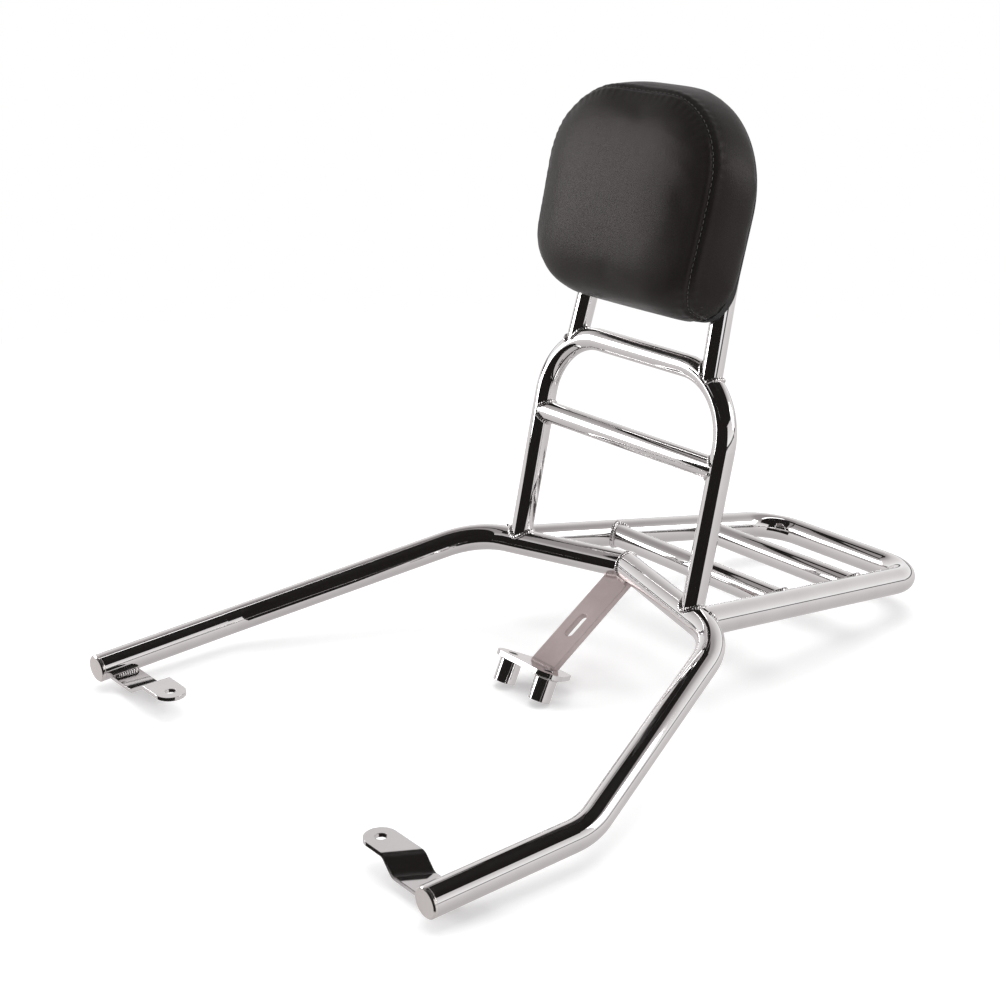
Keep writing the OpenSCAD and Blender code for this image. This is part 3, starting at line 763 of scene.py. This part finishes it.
# Past the object's surroundings the floor goes over into plain white, like a studio sweep.
far_white = tree.nodes.new("ShaderNodeEmission")
from_middle = add(tree, "ShaderNodeVectorMath", operation="LENGTH")
fade = add(tree, "ShaderNodeMapRange", {"From Min": 0.55, "From Max": 1.3})
blend = tree.nodes.new("ShaderNodeMixShader")
tree.links.new(object_coords(tree), from_middle.inputs[0])
tree.links.new(from_middle.outputs["Value"], fade.inputs["Value"])
tree.links.new(fade.outputs["Result"], blend.inputs["Fac"])
tree.links.new(shader.outputs["BSDF"], blend.inputs[1])
tree.links.new(far_white.outputs["Emission"], blend.inputs[2])
floor_out = next(n for n in tree.nodes if n.type == "OUTPUT_MATERIAL")
tree.links.new(blend.outputs["Shader"], floor_out.inputs["Surface"])
floor_z = cad_box[0].z - 0.0005
floor = stage_sheet("floor", level(-FLOOR_HALF, FLOOR_HALF, -FLOOR_HALF, FLOOR_HALF, floor_z),
                    floor_mat, False)
floor.visible_glossy = False

black_mat, tree, shader = new_material("card_black")
fill(shader, {"Base Color": (0.004, 0.004, 0.004, 1.0), "Roughness": 1.0,
              "Specular IOR Level": 0.0, "Emission Color": (0.010, 0.008, 0.0075, 1.0),
              "Emission Strength": 1.0})

# The card overhead is cut out above the rack, where one narrow strip draws the thin dark lines
# of the cross tubes. The cards in front stand on an arc.
for name, x0, x1, y0, y1 in (("card_above_rear", -0.72, 1.3, 0.36, 0.60),
                             ("card_above_front", -0.45, 1.3, -1.4, 0.36),
                             ("card_above_strip", -0.67, -0.61, -0.5, 0.36)):
    stage_sheet(name, level(x0, x1, y0, y1, CARD_Z), black_mat, True)
wall = []
for i in range(WALL_STEPS + 1):
    a = rad(WALL_START - WALL_SWEEP * i / WALL_STEPS)
    wall.append((WALL_R * math.cos(a), WALL_Y + WALL_R * math.sin(a)))
for i, (p, q) in enumerate(zip(wall, wall[1:])):
    corners = [(*p, WALL_LOW), (*q, WALL_LOW), (*q, WALL_HIGH), (*p, WALL_HIGH)]
    stage_sheet("card_front_%02d" % i, corners, black_mat, True)


def area(name, place, target, size, power):
    data = bpy.data.lights.new(name, "AREA")
    data.shape = "RECTANGLE"
    data.size, data.size_y = size
    data.energy = power
    obj = bpy.data.objects.new(name, data)
    bpy.context.scene.collection.objects.link(obj)
    obj.location = place
    obj.rotation_euler = (Vector(target) - Vector(place)).to_track_quat("-Z", "Y").to_euler()
    obj.visible_camera = False


area("key_left", (-1.7, -1.5, 0.75), (0, 0.1, 0.3), (1.2, 1.2), 26.0)
area("fill_right", (1.5, 1.6, 1.0), (0, 0.1, 0.3), (0.8, 1.0), 9.0)
area("top", (0.0, 0.3, 2.6), (0, 0.1, 0.0), (2.2, 2.2), 30.0)

# The world: white behind the object, soft white light on it, and for what mirrors it a room
# with a dark line at the horizon that is brightest just above it and dims towards the top.
world = bpy.data.worlds.new("studio")
bpy.context.scene.world = world
world.use_nodes = True
tree = world.node_tree
tree.nodes.clear()
world_out = tree.nodes.new("ShaderNodeOutputWorld")
path = tree.nodes.new("ShaderNodeLightPath")
direction = tree.nodes.new("ShaderNodeTexCoord")
split = tree.nodes.new("ShaderNodeSeparateXYZ")
tree.links.new(direction.outputs["Generated"], split.inputs["Vector"])
height = add(tree, "ShaderNodeMapRange", {"From Min": -1.0, "From Max": 1.0})
tree.links.new(split.outputs["Z"], height.inputs["Value"])
room = ramp(tree, height.outputs["Result"], [
    (0.0, (0.50, 0.475, 0.475)),
    (0.30, (0.66, 0.63, 0.63)),
    (0.485, (0.80, 0.775, 0.775)),
    (0.495, (0.06, 0.055, 0.055)),
    (0.515, (0.06, 0.055, 0.055)),
    (0.53, (1.0, 1.0, 1.0)),
    (0.60, (0.90, 0.88, 0.88)),
    (0.76, (0.68, 0.655, 0.655)),
    (0.86, (0.36, 0.335, 0.335)),
    (1.0, (0.30, 0.28, 0.28)),
])
soft = add(tree, "ShaderNodeBackground", {"Color": WHITE, "Strength": 0.62})
seen = add(tree, "ShaderNodeBackground", {"Strength": 1.0})
white = add(tree, "ShaderNodeBackground", {"Color": WHITE, "Strength": 1.0})
tree.links.new(room, seen.inputs["Color"])
by_gloss = tree.nodes.new("ShaderNodeMixShader")
by_camera = tree.nodes.new("ShaderNodeMixShader")
for mix, ray, other, chosen in ((by_gloss, "Is Glossy Ray", soft.outputs[0], seen.outputs[0]),
                                (by_camera, "Is Camera Ray", by_gloss.outputs[0],
                                 white.outputs[0])):
    tree.links.new(path.outputs[ray], mix.inputs["Fac"])
    tree.links.new(other, mix.inputs[1])
    tree.links.new(chosen, mix.inputs[2])
tree.links.new(by_camera.outputs["Shader"], world_out.inputs["Surface"])
bpy.context.scene.view_settings.view_transform = "Standard"
